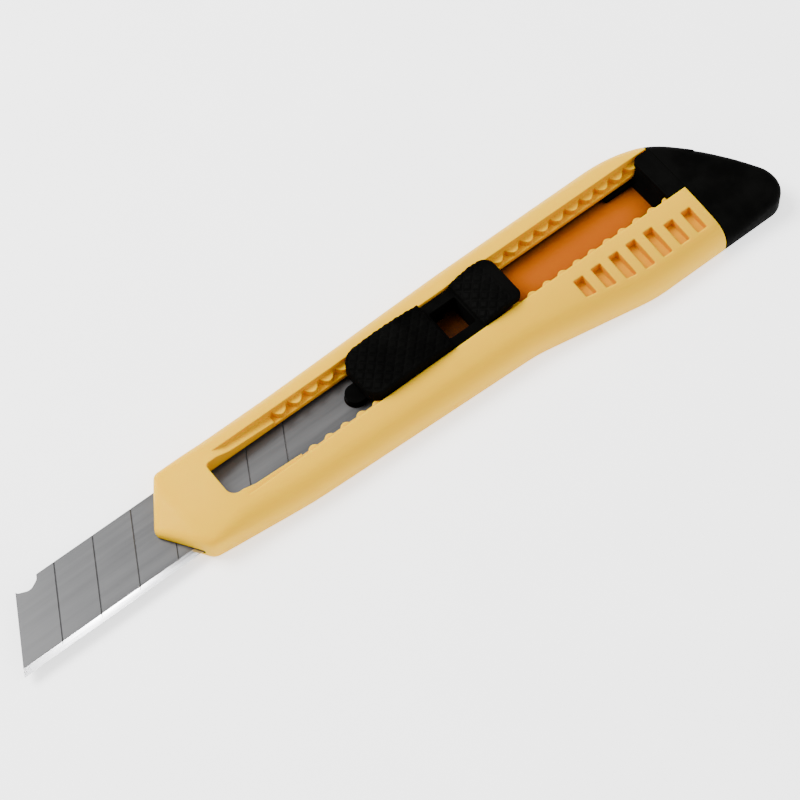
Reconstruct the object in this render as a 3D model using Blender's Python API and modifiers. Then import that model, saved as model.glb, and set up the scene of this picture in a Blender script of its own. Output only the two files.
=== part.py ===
"""Snap-off knife: an 18 mm scored blade in a plastic handle, with a thumb slider and an end cap.

The knife lies on its flat back. +Z points out of the thumb side, +X runs from the blade's tip
to the end cap, and +Y runs from the cutting edge to the blade's spine.
Points are written in the blade's own axes: X from the tip, Y from the cutting edge and Z from
the blade's upper face. ROOT_PLACE moves them, so that the origin is under the knife's middle.
"""

import math

import bmesh
import bpy
from mathutils import Matrix, Vector

MM = 0.001
KNIFE_NAME = "snap_off_knife"

# Blade: the usual 18 mm snap-off size, scored every 10 mm.
BLADE_WIDTH = 18.0 * MM
BLADE_LENGTH = 100.0 * MM
BLADE_THICKNESS = 0.5 * MM
SCORE_PITCH = 10.0 * MM
SCORE_COUNT = 7
SCORE_SLOPE = math.tan(math.radians(28.5))
SCORE_DEPTH = 0.12 * MM
SCORE_HALF_WIDTH = 0.14 * MM
GROUND_WIDTH = 1.8 * MM
EDGE_LAND = 0.06 * MM
TAIL_CHAMFER = 2.0 * MM
NOTCH_CENTRE = (12.1 * MM, 19.3 * MM)
NOTCH_RADIUS = 3.5 * MM
PIN_X = 94.0 * MM
BLADE_HOLE_RADIUS = 2.6 * MM

# Handle: one outline for the moulding and its end cap, seen from above.
MIDLINE_Y = BLADE_WIDTH / 2
HANDLE_END_X = 201.2 * MM
SPINE_SIDE_Y = 20.8 * MM
BELLY_SIDE_Y = -12.4 * MM
NOSE_X = 39.95 * MM
SEAM_X = 182.6 * MM
BACK_Z = -3.0 * MM
FRONT_Z = 6.2 * MM
BACK_EDGE_ROUND = 1.2 * MM
NOSE_EDGE_ROUND = 1.3 * MM
SPINE_EDGE_ROUND = 3.0 * MM
BELLY_EDGE_ROUND = 4.3 * MM
CAP_EDGE_ROUND = 2.6 * MM
BELLY_FALL = 1.5 * MM
SPINE_FALL = 0.5 * MM

# Channel inside the handle: blade slot, groove, ledges and the thumb window above them.
FLOOR_Z = -0.8 * MM
NOSE_SLOT_TOP_Z = 0.35 * MM
GROOVE_TOP_Z = 1.0 * MM
GROOVE_SIDE_GAP = 0.35 * MM
GROOVE_START_X = 55.5 * MM
MOUTH_START_X = 176.0 * MM
MOUTH_TOP_Y = 16.9 * MM
LEDGE_Z = 2.3 * MM
TRACK_Z = 4.15 * MM
TRACK_START = (59.8 * MM, 5.75 * MM)
LAND_START_X = 63.4 * MM
LAND_END = (76.4 * MM, 3.1 * MM)
THROAT_HALF_WIDTH = 4.95 * MM
WINDOW_HALF_WIDTH = 6.75 * MM
WINDOW_START_X = 57.3 * MM
WINDOW_CORNER = 1.6 * MM

# Detent rack on both sides of the window.
RACK_PITCH = 4.33 * MM
RACK_START_X = 75.6 * MM
RACK_FIRST_X = 78.2 * MM
RACK_COUNT = 24
TOOTH_HEIGHT = 1.65 * MM
TOOTH_FOOT = 1.85 * MM
TOOTH_FULLNESS = 2.1
TOOTH_STEPS = 8

# Finger grip: blind pockets in the belly side.
POCKET_COUNT = 7
POCKET_PITCH = 5.0 * MM
POCKET_FIRST_X = 147.2 * MM
POCKET_WIDTH = 2.7 * MM
POCKET_CORNER = 0.35 * MM
POCKET_FLOOR_Z = 3.4 * MM
POCKET_TOP_Y = -0.9 * MM
SHORT_POCKET_TOP_Y = -2.2 * MM
SHORT_POCKET_COUNT = 2
POCKET_BELLY_MARGIN = 4.05 * MM

# Slider: shoe in the groove, neck between the ledges, deck and two pads above them.
GAP = 0.3 * MM
OVERLAP = 0.15 * MM
SHOE_START_X = 101.0 * MM
SHOE_END_X = 129.3 * MM
SHOE_HALF_WIDTH = 3.7 * MM
FLANGE_END_X = 121.5 * MM
SHOE_TOP_Z = 0.7 * MM
NECK_START_X = 96.5 * MM
NECK_HALF_WIDTH = 4.3 * MM
NECK_BOTTOM_Z = 1.0 * MM
DECK_Z = TRACK_Z + GAP
BRIDGE_Z = 5.3 * MM
SLIDER_FRONT_X = 94.4 * MM
DECK_END_X = 131.0 * MM
SLIDER_REAR_X = 136.4 * MM
OVERHANG_Z = 6.5 * MM
OVERHANG_THICKNESS = 0.8 * MM
FRONT_PAD_END_X = 116.3 * MM
REAR_PAD_START_X = 124.9 * MM
REAR_PAD_START_Z = 7.4 * MM
PAD_FOOT_Z = 8.0 * MM
PAD_CROWN_Z = 9.4 * MM
FRONT_CORNER = 4.0 * MM
REAR_CORNER = 2.5 * MM
PAD_EDGE_ROUND = 0.45 * MM
HOLE_START_X = 117.4 * MM
HOLE_HALF_WIDTH = 3.9 * MM
HOLE_CORNER = 0.6 * MM
DETENT_X = 121.1 * MM
DETENT_RADIUS = 1.0 * MM
DETENT_BOTTOM_Z = 2.5 * MM
NUB_RADIUS = 2.4 * MM
NUB_TOP_Z = 2.0 * MM
PIN_RADIUS = 2.25 * MM

# End cap: outer shell, plug and tab in the channel's mouth, two arms in the groove.
CAP_GAP = 0.3 * MM
PLUG_FOOT_X = 176.4 * MM
PLUG_TOP = (178.2 * MM, 5.9 * MM)
PLUG_ROOT_X = 185.0 * MM
ARM_START_X = 168.8 * MM
ARM_ROOT_X = 183.8 * MM
ARM_INNER_REACH = 4.1 * MM
ARM_CORNER = 0.6 * MM
SLIT_DEPTH = 6.0 * MM
SLIT_BOTTOM_Z = 1.1 * MM
SLIT_TOP_Z = 2.1 * MM

# How far a cutter runs past what it cuts.
REACH = 8.0 * MM

# How finely the rounded faces are divided.
EDGE_STEPS = 4
CUT_PITCH_X = 6.0 * MM
CUT_PITCH_Y = 5.0 * MM

ROOT_PLACE = Vector((-HANDLE_END_X / 2, -(SPINE_SIDE_Y + BELLY_SIDE_Y) / 2, -BACK_Z))

# Corners are (x, y, radius), in order round the handle.
HANDLE_CORNERS = [
    (NOSE_X, 9.1 * MM, 2.0 * MM),
    (47.6 * MM, -2.1 * MM, 3.0 * MM),
    (72.0 * MM, -4.7 * MM, 100.0 * MM),
    (132.5 * MM, -6.9 * MM, 35.0 * MM),
    (162.0 * MM, BELLY_SIDE_Y, 35.0 * MM),
    (HANDLE_END_X, BELLY_SIDE_Y, 4.7 * MM),
    (HANDLE_END_X, -5.2 * MM, 8.0 * MM),
    (192.25 * MM, 8.8 * MM, 40.0 * MM),
    (184.6 * MM, 17.0 * MM, 20.0 * MM),
    (174.1 * MM, SPINE_SIDE_Y, 34.0 * MM),
    (125.0 * MM, SPINE_SIDE_Y, 150.0 * MM),
    (78.0 * MM, 19.9 * MM, 150.0 * MM),
    (47.7 * MM, 19.95 * MM, 2.0 * MM),
]

# Heights of the front and back faces along the handle, as (x, z) in millimetres.
FRONT_HEIGHTS = ((40, 2.6), (47, 4.5), (58, 5.5), (140, 6.2))
BACK_HEIGHTS = ((38, -2.3), (52, -3.0))


def spaced(low, high, pitch):
    """Places a pitch apart, from low to below high."""
    return [low + pitch * k for k in range(math.ceil((high - low) / pitch))]


def clear_scene():
    for old in list(bpy.data.objects):
        bpy.data.objects.remove(old)


def new_collection(name):
    collection = bpy.data.collections.new(name)
    bpy.context.scene.collection.children.link(collection)
    return collection


def new_material(name, colour, roughness, metallic=0.0):
    material = bpy.data.materials.new(name)
    material.use_nodes = True
    shader = material.node_tree.nodes["Principled BSDF"]
    shader.inputs["Base Color"].default_value = (*colour, 1.0)
    shader.inputs["Roughness"].default_value = roughness
    shader.inputs["Metallic"].default_value = metallic
    return material


def rounded(corners, step=math.radians(9)):
    """The closed outline through (x, y, radius) corners, with each corner made an arc."""
    outline = []
    for i, (x, y, radius) in enumerate(corners):
        corner = Vector((x, y))
        before = (Vector(corners[i - 1][:2]) - corner).normalized()
        after = (Vector(corners[(i + 1) % len(corners)][:2]) - corner).normalized()
        turn = math.pi - before.angle(after)
        if radius == 0:
            outline.append(corner)
            continue
        centre = corner + (before + after).normalized() * (radius / math.cos(turn / 2))
        reach = radius * math.tan(turn / 2)
        start = corner + before * reach - centre
        end = corner + after * reach - centre
        count = max(1, math.ceil(turn / step))
        outline += [centre + start.slerp(end, k / count) * radius for k in range(count + 1)]
    return outline


def box_outline(x_low, x_high, y_low, y_high, corner=0.0):
    places = ((x_low, y_low), (x_high, y_low), (x_high, y_high), (x_low, y_high))
    return rounded([(x, y, corner) for x, y in places])


def weld(mesh, distance=0.001 * MM):
    shape = bmesh.new()
    shape.from_mesh(mesh)
    bmesh.ops.remove_doubles(shape, verts=shape.verts, dist=distance)
    shape.to_mesh(mesh)
    shape.free()


def baked(source):
    return bpy.data.meshes.new_from_object(
        source.evaluated_get(bpy.context.evaluated_depsgraph_get())
    )


class Workshop:
    """Makes the solids, each parented to the knife's root empty."""

    def __init__(self):
        self.parts = new_collection(KNIFE_NAME)
        self.cutters = new_collection("cutters")
        self.root = bpy.data.objects.new("knife_root", None)
        self.root.location = ROOT_PLACE
        self.parts.objects.link(self.root)

    def add(self, name, mesh, material=None):
        """A part if it has a material, or else a cutter."""
        made = bpy.data.objects.new(name, mesh)
        made.parent = self.root
        if material:
            self.parts.objects.link(made)
            mesh.materials.clear()
            mesh.materials.append(material)
        else:
            self.cutters.objects.link(made)
            made.hide_render = True
            made.display_type = "WIRE"
        return made

    def prism(self, name, outline, low, high, turn=Matrix.Identity(4), material=None):
        """A flat outline made solid from low to high, then turned about the blade's axes."""
        curve = bpy.data.curves.new(name, "CURVE")
        curve.dimensions = "2D"
        curve.fill_mode = "BOTH"
        curve.extrude = (high - low) / 2
        spline = curve.splines.new("POLY")
        spline.points.add(len(outline) - 1)
        for point, place in zip(spline.points, outline):
            point.co = (place[0], place[1], 0, 1)
        spline.use_cyclic_u = True
        drawn = bpy.data.objects.new(name, curve)
        bpy.context.scene.collection.objects.link(drawn)
        mesh = baked(drawn)
        bpy.data.objects.remove(drawn)
        mesh.transform(turn @ Matrix.Translation((0, 0, (low + high) / 2)))
        weld(mesh)
        return self.add(name, mesh, material)

    def side_prism(self, name, outline, low, high, material=None):
        """The same for an outline in X and Z, solid from low to high along Y."""
        turn = Matrix.Rotation(math.pi / 2, 4, "X")
        return self.prism(name, outline, -high, -low, turn, material)

    def end_prism(self, name, outline, low, high):
        """The same for an outline in Y and Z, solid from low to high along X."""
        turn = Matrix(((0, 0, 1, 0), (1, 0, 0, 0), (0, 1, 0, 0), (0, 0, 0, 1)))
        return self.prism(name, outline, low, high, turn)

    def rod(self, name, centre, radius, low, high, sides=48):
        bpy.ops.mesh.primitive_cylinder_add(
            vertices=sides,
            radius=radius,
            depth=high - low,
            location=(*centre, (low + high) / 2),
        )
        drawn = bpy.context.object
        mesh = drawn.data.copy()
        mesh.transform(drawn.matrix_world)
        bpy.data.objects.remove(drawn)
        return self.add(name, mesh)


def combine(body, other, operation):
    modifier = body.modifiers.new(other.name, "BOOLEAN")
    modifier.operation = operation
    modifier.object = other


def round_edges(body, width, segments=3):
    modifier = body.modifiers.new("rounded_edges", "BEVEL")
    modifier.width = width
    modifier.segments = segments
    modifier.limit_method = "ANGLE"
    modifier.angle_limit = math.radians(40)


def both_sides(half_width):
    return MIDLINE_Y - half_width, MIDLINE_Y + half_width


def belly_at(x):
    """The belly side's Y at a place along the handle."""
    crossings = []
    outline = rounded(HANDLE_CORNERS)
    for a, b in zip(outline, outline[1:]):
        if min(a.x, b.x) <= x < max(a.x, b.x):
            crossings.append(a.y + (b.y - a.y) * (x - a.x) / (b.x - a.x))
    return min(crossings)


def inset(corners, distance):
    """The corners of the same outline drawn in by a distance."""
    moved = []
    for i, (x, y, radius) in enumerate(corners):
        corner = Vector((x, y))
        before = (corner - Vector(corners[i - 1][:2])).normalized()
        after = (Vector(corners[(i + 1) % len(corners)][:2]) - corner).normalized()
        into = Vector((-before.y - after.y, before.x + after.x)) / (1 + before.dot(after))
        drawn = radius + distance
        if before.cross(after) > 0:
            drawn = max(0.05 * MM, radius - distance)
        place = corner + into * distance
        moved.append((place.x, place.y, drawn))
    return moved


def eased(share):
    share = min(1.0, max(0.0, share))
    return share * share * (3 - 2 * share)


def height_along(x, heights):
    """A smooth height through (x, z) places."""
    for (x_low, z_low), (x_high, z_high) in zip(heights, heights[1:]):
        if x <= x_high * MM:
            share = eased((x - x_low * MM) / ((x_high - x_low) * MM))
            return (z_low + (z_high - z_low) * share) * MM
    return heights[-1][1] * MM


def front_edge_round(x, y):
    """The radius of the front edge, small at the nose and full along the grip."""
    full = BELLY_EDGE_ROUND if y < MIDLINE_Y else SPINE_EDGE_ROUND
    full += (CAP_EDGE_ROUND - full) * min(1.0, max(0.0, (x - 186.0 * MM) / (10.0 * MM)))
    return NOSE_EDGE_ROUND + (full - NOSE_EDGE_ROUND) * eased((x - 46.5 * MM) / (14.0 * MM))


def front_height(x, y):
    """The front face before its edges are rounded: a low crown, sloping down at the nose."""
    belly = max(0.0, 1.0 * MM - y) / (13.0 * MM)
    spine = max(0.0, y - 16.5 * MM) / (4.3 * MM)
    return height_along(x, FRONT_HEIGHTS) - BELLY_FALL * belly**1.4 - SPINE_FALL * spine**2


def distance_inside(point, outline):
    nearest = HANDLE_END_X
    for a, b in zip(outline, outline[1:] + outline[:1]):
        along = b - a
        share = min(1.0, max(0.0, (point - a).dot(along) / along.length_squared))
        nearest = min(nearest, (point - a - along * share).length)
    return nearest


def edge_drop(distance, radius):
    """How far a quarter-round edge is below its face, at a distance from the outline."""
    if distance >= radius:
        return 0.0
    return radius - math.sqrt(radius**2 - (radius - distance) ** 2)


def make_blank(shop):
    """The handle and its cap as one solid, before the channel.

    It starts as rings drawn in from the outline, and is then shaped to its rounded faces.
    """
    edge = rounded(HANDLE_CORNERS)
    turns = [math.pi / 2 * k / EDGE_STEPS for k in range(EDGE_STEPS + 1)]
    front_insets = [BELLY_EDGE_ROUND * (1 - math.cos(turn)) for turn in turns]
    back_insets = [BACK_EDGE_ROUND * (1 - math.cos(turn)) for turn in turns[::2]]
    shape = bmesh.new()
    rings = []
    for distance in back_insets[::-1]:
        ring = rounded(inset(HANDLE_CORNERS, distance))
        rings.append([shape.verts.new((p.x, p.y, -REACH)) for p in ring])
    for distance in front_insets:
        ring = rounded(inset(HANDLE_CORNERS, distance))
        rings.append([shape.verts.new((p.x, p.y, REACH)) for p in ring])
    for low, high in zip(rings, rings[1:]):
        for k in range(len(low)):
            n = (k + 1) % len(low)
            shape.faces.new((low[k], low[n], high[n], high[k]))
    shape.faces.new(rings[0][::-1])
    shape.faces.new(rings[-1])

    cuts = [((x, 0, 0), (1, 0, 0)) for x in spaced(44.0 * MM, HANDLE_END_X, CUT_PITCH_X)]
    cuts += [((0, y, 0), (0, 1, 0)) for y in spaced(-6.5 * MM, SPINE_SIDE_Y, CUT_PITCH_Y)]
    for place, direction in cuts:
        whole = shape.verts[:] + shape.edges[:] + shape.faces[:]
        bmesh.ops.bisect_plane(shape, geom=whole, dist=1e-7, plane_co=place, plane_no=direction)
    for vertex in shape.verts:
        x, y, level = vertex.co
        inside = distance_inside(Vector((x, y)), edge)
        if level > 0:
            vertex.co.z = front_height(x, y) - edge_drop(inside, front_edge_round(x, y))
        else:
            vertex.co.z = height_along(x, BACK_HEIGHTS) + edge_drop(inside, BACK_EDGE_ROUND)
    bmesh.ops.remove_doubles(shape, verts=shape.verts, dist=0.005 * MM)
    bmesh.ops.triangulate(shape, faces=shape.faces)
    bmesh.ops.recalc_face_normals(shape, faces=shape.faces)
    mesh = bpy.data.meshes.new("handle_blank")
    shape.to_mesh(mesh)
    shape.free()
    return shop.add("handle_blank", mesh)


def side_of_seam(shop, name, x_low, x_high):
    """The space on one side of the straight seam between handle and cap."""
    outline = box_outline(x_low, x_high, BELLY_SIDE_Y - REACH, SPINE_SIDE_Y + REACH)
    return shop.prism(name, outline, BACK_Z - REACH, FRONT_Z + REACH)


def tooth_edge(centre_x, side):
    """One rounded rack tooth seen from above, from its left foot to its right one."""
    wall = MIDLINE_Y + side * WINDOW_HALF_WIDTH
    points = []
    for k in range(TOOTH_STEPS + 1):
        off = -math.cos(math.pi * k / TOOTH_STEPS)
        height = TOOTH_HEIGHT * (1 - abs(off) ** TOOTH_FULLNESS)
        points.append((centre_x + TOOTH_FOOT * off, wall - side * height))
    return points


def rack_outline():
    """The space between the two racks. It starts at the end of the plain land."""
    end_x = HANDLE_END_X + REACH
    rows = []
    for side in (-1, 1):
        row = [(RACK_START_X, MIDLINE_Y + side * WINDOW_HALF_WIDTH)]
        for k in range(RACK_COUNT):
            row += tooth_edge(RACK_FIRST_X + k * RACK_PITCH, side)
        rows.append(row + [(end_x, MIDLINE_Y + side * WINDOW_HALF_WIDTH)])
    return rows[0] + rows[1][::-1]


def cut_channel(shop, handle):
    end_x = HANDLE_END_X + REACH
    groove = shop.side_prism(
        "groove_cutter",
        [
            (NOSE_X - REACH, FLOOR_Z),
            (end_x, FLOOR_Z),
            (end_x, GROOVE_TOP_Z),
            (GROOVE_START_X, GROOVE_TOP_Z),
            (GROOVE_START_X, NOSE_SLOT_TOP_Z),
            (NOSE_X - REACH, NOSE_SLOT_TOP_Z),
        ],
        -GROOVE_SIDE_GAP,
        BLADE_WIDTH + GROOVE_SIDE_GAP,
    )
    # The groove narrows at its mouth, where the handle's spine side curves in.
    mouth_wall = shop.prism(
        "mouth_wall",
        box_outline(MOUTH_START_X, end_x + REACH, MOUTH_TOP_Y, SPINE_SIDE_Y + REACH),
        FLOOR_Z - REACH,
        GROOVE_TOP_Z + REACH,
    )
    combine(groove, mouth_wall, "DIFFERENCE")
    throat = shop.prism(
        "throat_cutter",
        box_outline(WINDOW_START_X, end_x, *both_sides(THROAT_HALF_WIDTH), WINDOW_CORNER),
        FLOOR_Z + OVERLAP,
        FRONT_Z + REACH,
    )
    rack = shop.prism("rack_cutter", rack_outline(), LEDGE_Z, TRACK_Z + OVERLAP)
    track = shop.side_prism(
        "track_cutter",
        [
            TRACK_START,
            (LAND_START_X, TRACK_Z),
            (end_x, TRACK_Z),
            (end_x, FRONT_Z + REACH),
            (TRACK_START[0], FRONT_Z + REACH),
        ],
        *both_sides(WINDOW_HALF_WIDTH),
    )
    land = shop.side_prism(
        "land_cutter",
        [
            (LAND_START_X, TRACK_Z),
            LAND_END,
            (LAND_END[0], TRACK_Z + OVERLAP),
            (LAND_START_X, TRACK_Z + OVERLAP),
        ],
        *both_sides(WINDOW_HALF_WIDTH),
    )
    for cutter in (groove, throat, rack, track, land):
        combine(handle, cutter, "DIFFERENCE")


def cut_grip_pockets(shop, handle):
    for k in range(POCKET_COUNT):
        low_x = POCKET_FIRST_X + k * POCKET_PITCH
        high_x = low_x + POCKET_WIDTH
        short = k >= POCKET_COUNT - SHORT_POCKET_COUNT
        top_y = SHORT_POCKET_TOP_Y if short else POCKET_TOP_Y
        corners = [
            (low_x, belly_at(low_x) + POCKET_BELLY_MARGIN, POCKET_CORNER),
            (high_x, belly_at(high_x) + POCKET_BELLY_MARGIN, POCKET_CORNER),
            (high_x, top_y, POCKET_CORNER),
            (low_x, top_y, POCKET_CORNER),
        ]
        outline = rounded(corners, math.radians(45))
        cutter = shop.prism(f"pocket_cutter_{k + 1}", outline, POCKET_FLOOR_Z, FRONT_Z + REACH)
        combine(handle, cutter, "DIFFERENCE")


def make_handle(shop, blank, material):
    handle = shop.add("handle", baked(blank), material)
    side = side_of_seam(shop, "handle_side", NOSE_X - REACH, SEAM_X - CAP_GAP / 2)
    combine(handle, side, "INTERSECT")
    cut_channel(shop, handle)
    cut_grip_pockets(shop, handle)


def make_blade(shop, material):
    spine_x = BLADE_WIDTH * SCORE_SLOPE
    outline = [
        (0, 0),
        (BLADE_LENGTH - TAIL_CHAMFER, 0),
        (BLADE_LENGTH, TAIL_CHAMFER),
        (BLADE_LENGTH, BLADE_WIDTH - TAIL_CHAMFER),
        (BLADE_LENGTH - TAIL_CHAMFER, BLADE_WIDTH),
        (spine_x, BLADE_WIDTH),
    ]
    blade = shop.prism("blade", outline, -BLADE_THICKNESS, 0, material=material)

    middle_z = -BLADE_THICKNESS / 2
    rise = (BLADE_THICKNESS - EDGE_LAND) / 2
    for name, side in (("upper", 1), ("lower", -1)):
        face_z = middle_z + side * BLADE_THICKNESS / 2
        past_z = middle_z + side * (EDGE_LAND / 2 - rise)
        wedge = [
            (-GROUND_WIDTH, past_z),
            (GROUND_WIDTH, face_z),
            (GROUND_WIDTH, face_z + side * REACH),
            (-GROUND_WIDTH, face_z + side * REACH),
        ]
        grind = shop.end_prism(f"grind_{name}", wedge, -REACH, BLADE_LENGTH + REACH)
        combine(blade, grind, "DIFFERENCE")

    for k in range(SCORE_COUNT):
        low_x = (k + 1) * SCORE_PITCH - REACH * SCORE_SLOPE
        high_x = (k + 1) * SCORE_PITCH + (BLADE_WIDTH + REACH) * SCORE_SLOPE
        strip = [
            (low_x - SCORE_HALF_WIDTH, -REACH),
            (low_x + SCORE_HALF_WIDTH, -REACH),
            (high_x + SCORE_HALF_WIDTH, BLADE_WIDTH + REACH),
            (high_x - SCORE_HALF_WIDTH, BLADE_WIDTH + REACH),
        ]
        score = shop.prism(f"score_{k + 1}", strip, -SCORE_DEPTH, REACH)
        combine(blade, score, "DIFFERENCE")

    low, high = -BLADE_THICKNESS - REACH, REACH
    notch = shop.rod("front_notch", NOTCH_CENTRE, NOTCH_RADIUS, low, high)
    combine(blade, notch, "DIFFERENCE")
    hole = shop.rod("tail_hole", (PIN_X, MIDLINE_Y), BLADE_HOLE_RADIUS, low, high)
    combine(blade, hole, "DIFFERENCE")


def make_slider(shop, material):
    """One moulding. Its two springy beams beside the square hole carry the detent bumps."""
    low_y, high_y = both_sides(WINDOW_HALF_WIDTH - GAP)
    plan = rounded(
        [
            (SLIDER_FRONT_X, low_y, FRONT_CORNER),
            (SLIDER_REAR_X, low_y, REAR_CORNER),
            (SLIDER_REAR_X, high_y, REAR_CORNER),
            (SLIDER_FRONT_X, high_y, FRONT_CORNER),
        ]
    )
    slider = shop.prism("slider", plan, DECK_Z, PAD_CROWN_Z + REACH, material=material)

    crown_x = (SLIDER_FRONT_X + FRONT_PAD_END_X) / 2
    profile = rounded(
        [
            (SLIDER_FRONT_X - REACH, DECK_Z - REACH, 0),
            (DECK_END_X, DECK_Z - REACH, 0),
            (DECK_END_X, OVERHANG_Z, 0),
            (SLIDER_REAR_X + REACH, OVERHANG_Z, 0),
            (SLIDER_REAR_X + REACH, OVERHANG_Z + OVERHANG_THICKNESS, 0),
            (SLIDER_REAR_X, OVERHANG_Z + OVERHANG_THICKNESS, 0),
            (132.0 * MM, PAD_CROWN_Z, 2.5 * MM),
            (REAR_PAD_START_X, REAR_PAD_START_Z, 0),
            (REAR_PAD_START_X, BRIDGE_Z, 0),
            (FRONT_PAD_END_X, BRIDGE_Z, 0),
            (FRONT_PAD_END_X, PAD_FOOT_Z, 0),
            (crown_x, PAD_CROWN_Z, 42.0 * MM),
            (SLIDER_FRONT_X, PAD_FOOT_Z, 0),
            (SLIDER_FRONT_X - REACH, PAD_FOOT_Z, 0),
        ],
        math.radians(3),
    )
    crowns = shop.side_prism("pad_profile", profile, low_y - REACH, high_y + REACH)
    combine(slider, crowns, "INTERSECT")
    round_edges(slider, PAD_EDGE_ROUND, segments=2)

    neck = shop.prism(
        "neck",
        box_outline(NECK_START_X, SHOE_END_X, *both_sides(NECK_HALF_WIDTH)),
        NECK_BOTTOM_Z,
        DECK_Z + OVERLAP,
    )
    shoe = shop.prism(
        "shoe",
        box_outline(SHOE_START_X, SHOE_END_X, *both_sides(SHOE_HALF_WIDTH)),
        -BLADE_THICKNESS,
        NECK_BOTTOM_Z + OVERLAP,
    )
    flanges = shop.prism(
        "flanges",
        box_outline(
            SHOE_START_X + OVERLAP,
            FLANGE_END_X,
            GAP - GROOVE_SIDE_GAP,
            BLADE_WIDTH + GROOVE_SIDE_GAP - GAP,
            ARM_CORNER,
        ),
        -BLADE_THICKNESS,
        SHOE_TOP_Z,
    )
    nub = shop.prism(
        "nub",
        rounded(
            [
                (PIN_X - NUB_RADIUS, MIDLINE_Y - NUB_RADIUS, NUB_RADIUS),
                (NECK_START_X + OVERLAP, MIDLINE_Y - NUB_RADIUS, 0),
                (NECK_START_X + OVERLAP, MIDLINE_Y + NUB_RADIUS, 0),
                (PIN_X - NUB_RADIUS, MIDLINE_Y + NUB_RADIUS, NUB_RADIUS),
            ]
        ),
        GAP,
        NUB_TOP_Z,
    )
    pin = shop.rod("pin", (PIN_X, MIDLINE_Y), PIN_RADIUS, -BLADE_THICKNESS, GAP + OVERLAP)
    additions = [neck, shoe, flanges, nub, pin]
    for name, y in zip(("lower", "upper"), both_sides(NECK_HALF_WIDTH + GAP - DETENT_RADIUS)):
        bump = shop.rod(f"detent_{name}", (DETENT_X, y), DETENT_RADIUS, DETENT_BOTTOM_Z, DECK_Z)
        additions.append(bump)
    for addition in additions:
        combine(slider, addition, "UNION")

    hole = shop.prism(
        "slider_hole",
        box_outline(
            HOLE_START_X,
            REAR_PAD_START_X - OVERLAP,
            *both_sides(HOLE_HALF_WIDTH),
            HOLE_CORNER,
        ),
        -BLADE_THICKNESS - REACH,
        PAD_CROWN_Z + REACH,
    )
    combine(slider, hole, "DIFFERENCE")


def make_end_cap(shop, blank, material):
    cap = shop.add("end_cap", baked(blank), material)
    side = side_of_seam(shop, "cap_side", SEAM_X + CAP_GAP / 2, HANDLE_END_X + REACH)
    combine(cap, side, "INTERSECT")

    lean = (PLUG_TOP[0] - PLUG_FOOT_X) / (PLUG_TOP[1] + BLADE_THICKNESS)
    tab_x = PLUG_FOOT_X + lean * (DECK_Z + BLADE_THICKNESS)
    plug = shop.side_prism(
        "plug",
        [
            (PLUG_FOOT_X, -BLADE_THICKNESS),
            (PLUG_ROOT_X, -BLADE_THICKNESS),
            (PLUG_ROOT_X, DECK_Z + OVERLAP),
            (tab_x + lean * OVERLAP, DECK_Z + OVERLAP),
        ],
        *both_sides(NECK_HALF_WIDTH + GAP),
    )
    tab = shop.side_prism(
        "tab",
        [
            (tab_x, DECK_Z),
            (PLUG_ROOT_X, DECK_Z),
            (PLUG_ROOT_X, PLUG_TOP[1]),
            PLUG_TOP,
        ],
        *both_sides(WINDOW_HALF_WIDTH - GAP),
    )
    combine(cap, plug, "UNION")
    combine(cap, tab, "UNION")
    arms = {
        "lower": (GAP - GROOVE_SIDE_GAP, MIDLINE_Y - ARM_INNER_REACH),
        "upper": (MIDLINE_Y + ARM_INNER_REACH, MOUTH_TOP_Y - GAP),
    }
    for name, edges in arms.items():
        outline = box_outline(ARM_START_X, ARM_ROOT_X, *edges, ARM_CORNER)
        arm = shop.prism(f"arm_{name}", outline, -BLADE_THICKNESS, SHOE_TOP_Z)
        combine(cap, arm, "UNION")

    slit = shop.prism(
        "snapping_slit",
        [
            (194.2 * MM, -8.0 * MM),
            (HANDLE_END_X + REACH, -8.0 * MM),
            (HANDLE_END_X + REACH, 12.0 * MM),
            (185.5 * MM, 12.0 * MM),
        ],
        SLIT_BOTTOM_Z,
        SLIT_TOP_Z,
    )
    combine(cap, slit, "DIFFERENCE")


def main():
    clear_scene()
    shop = Workshop()
    yellow = new_material("yellow_plastic", (0.82, 0.55, 0.10), 0.45)
    black = new_material("black_plastic", (0.02, 0.02, 0.022), 0.5)
    steel = new_material("blade_steel", (0.42, 0.43, 0.45), 0.3, metallic=1.0)
    blank = make_blank(shop)
    make_handle(shop, blank, yellow)
    make_blade(shop, steel)
    make_slider(shop, black)
    make_end_cap(shop, blank, black)


main()
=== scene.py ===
"""The snap-off knife's looks, built round its CAD frame: finer solids, knurled pads, moulded
plastic and ground steel, on a pale studio floor.

Shapes are written in the blade's own axes, as in the CAD: X from the tip, Y from the cutting
edge, Z from the blade's upper face. TO_FRAME moves them into the CAD frame.
"""

import math

import bmesh
import bpy
from mathutils import Matrix, Vector


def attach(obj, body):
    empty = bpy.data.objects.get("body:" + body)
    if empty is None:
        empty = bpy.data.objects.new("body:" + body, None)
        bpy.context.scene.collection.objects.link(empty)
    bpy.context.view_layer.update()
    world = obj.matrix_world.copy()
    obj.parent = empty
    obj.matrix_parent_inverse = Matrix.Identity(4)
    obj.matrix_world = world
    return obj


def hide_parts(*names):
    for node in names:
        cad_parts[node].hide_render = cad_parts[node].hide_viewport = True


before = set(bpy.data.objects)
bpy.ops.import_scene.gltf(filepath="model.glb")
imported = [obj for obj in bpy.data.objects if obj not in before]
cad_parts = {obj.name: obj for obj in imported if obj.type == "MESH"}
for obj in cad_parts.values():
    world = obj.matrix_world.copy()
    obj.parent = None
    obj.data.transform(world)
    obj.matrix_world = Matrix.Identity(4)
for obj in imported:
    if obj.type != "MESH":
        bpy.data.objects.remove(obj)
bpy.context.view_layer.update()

MM = 0.001
REACH = 8.0 * MM
OVERLAP = 0.15 * MM
GAP = 0.3 * MM

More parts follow.
